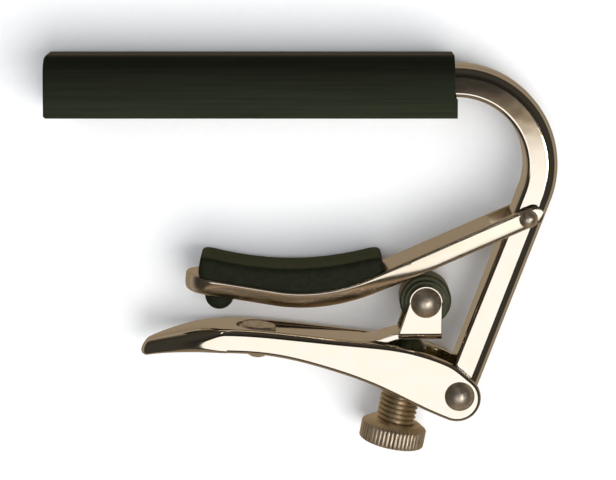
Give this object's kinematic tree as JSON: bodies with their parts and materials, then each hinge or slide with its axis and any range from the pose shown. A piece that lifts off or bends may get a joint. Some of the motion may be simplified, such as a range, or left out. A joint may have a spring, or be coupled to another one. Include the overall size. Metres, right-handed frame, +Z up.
{
  "type": "guitar capo",
  "caption": "Lever-action guitar capo: a bent bar in a rubber sleeve, a padded swing arm, and an over-centre lever with a roller and a knurled adjusting screw.",
  "frame": {"origin": "centre of the bounding box in X and Y, on the surface that the capo lies on", "axes": "+X along the sleeve towards the bend of the bar, +Y from the adjusting screw towards the sleeve, +Z up, out of the side that faces the viewer"},
  "size_m": [0.076, 0.0606, 0.0126],
  "materials": {
    "nickel": "bright nickel plate, warm in tone",
    "rivet_steel": "satin, darker than the plated parts",
    "screw_steel": "plated, knurled head and fine thread",
    "sleeve_rubber": "smooth extruded black rubber",
    "pad_rubber": "moulded black rubber, soft sheen",
    "roller_plastic": "black acetal"
  },
  "bodies": {
    "frame": {"frame_bar": "nickel", "bar_sleeve": "sleeve_rubber"},
    "arm": {"swing_arm": "nickel", "neck_pad": "pad_rubber", "arm_pivot_rivet": "rivet_steel"},
    "lever": {"lever": "nickel", "lever_pivot_rivet": "rivet_steel", "strap_rivet": "rivet_steel"},
    "strap": {"roller_strap": "nickel", "roller_axle": "rivet_steel", "roller_washers": "roller_plastic"},
    "roller": {"roller": "roller_plastic"},
    "tip": {"screw_tip": "roller_plastic"},
    "screw": {"adjusting_screw": "screw_steel"}
  },
  "joints": [
    {"name": "lever_swing", "type": "hinge", "parent": "frame", "child": "lever", "pos_m": [0.02365, -0.0209, 0.0063], "axis": [0, 0, 1], "range_deg": [0, 90]},
    {"name": "arm_swing", "type": "hinge", "parent": "frame", "child": "arm", "pos_m": [0.0335, 0.00625, 0.0063], "axis": [0, 0, 1], "range_deg": [0, 9.05]},
    {"name": "strap_lift", "type": "hinge", "parent": "lever", "child": "strap", "pos_m": [-0.0067, -0.0119, 0.0063], "axis": [0, 0, 1], "range_deg": [-2.75, 0]},
    {"name": "roller_spin", "type": "hinge", "parent": "strap", "child": "roller", "pos_m": [0.0185, -0.0067, 0.0063], "axis": [0, 0, 1], "continuous": true},
    {"name": "screw_travel", "type": "slide", "parent": "lever", "child": "tip", "axis": [0.1908, 0.9816, 0], "range_m": [-0.00112, 0]},
    {"name": "screw_turn", "type": "hinge", "parent": "tip", "child": "screw", "pos_m": [0.0135, -0.0293, 0.0063], "axis": [0.1908, 0.9816, 0], "range_deg": [-540, 0]}
  ],
  "couplings": [
    {"joint": "arm_swing", "follows": "lever_swing", "ratio": 0.1},
    {"joint": "screw_turn", "follows": "screw_travel", "rad_per_m": 8377.6},
    {"joint": "strap_lift", "follows": "screw_travel", "rad_per_m": 41.9}
  ]
}
